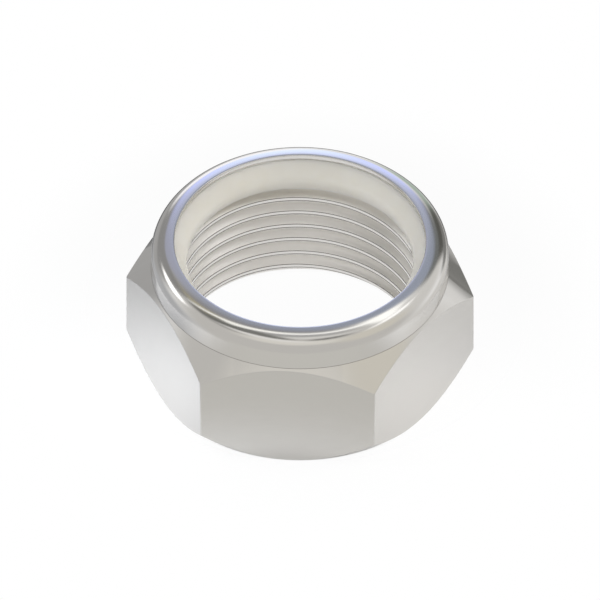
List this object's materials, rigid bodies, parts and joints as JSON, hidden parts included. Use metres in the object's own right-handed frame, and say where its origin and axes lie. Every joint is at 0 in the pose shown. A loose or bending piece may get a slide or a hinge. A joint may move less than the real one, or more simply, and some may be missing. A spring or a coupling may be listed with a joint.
{
  "type": "hex lock nut",
  "caption": "Stainless steel hex lock nut with a round collar whose rolled rim holds a nylon locking ring; it grips a fine-thread screw against loosening.",
  "frame": {"origin": "centre of the bearing face, which is the flat end opposite the collar, on the axis of the thread", "axes": "+Z along the bore from the bearing face to the rolled rim; +X towards a corner of the hexagon; -Y and +Y are the outward normals of two wrench flats"},
  "size_m": [0.0348, 0.0302, 0.0159],
  "materials": {
    "stainless_steel": "bright turned and lightly polished",
    "natural_nylon": "natural off-white, satin as moulded"
  },
  "bodies": {
    "root": {"nut_body": "stainless_steel", "locking_ring": "natural_nylon"}
  },
  "joints": []
}
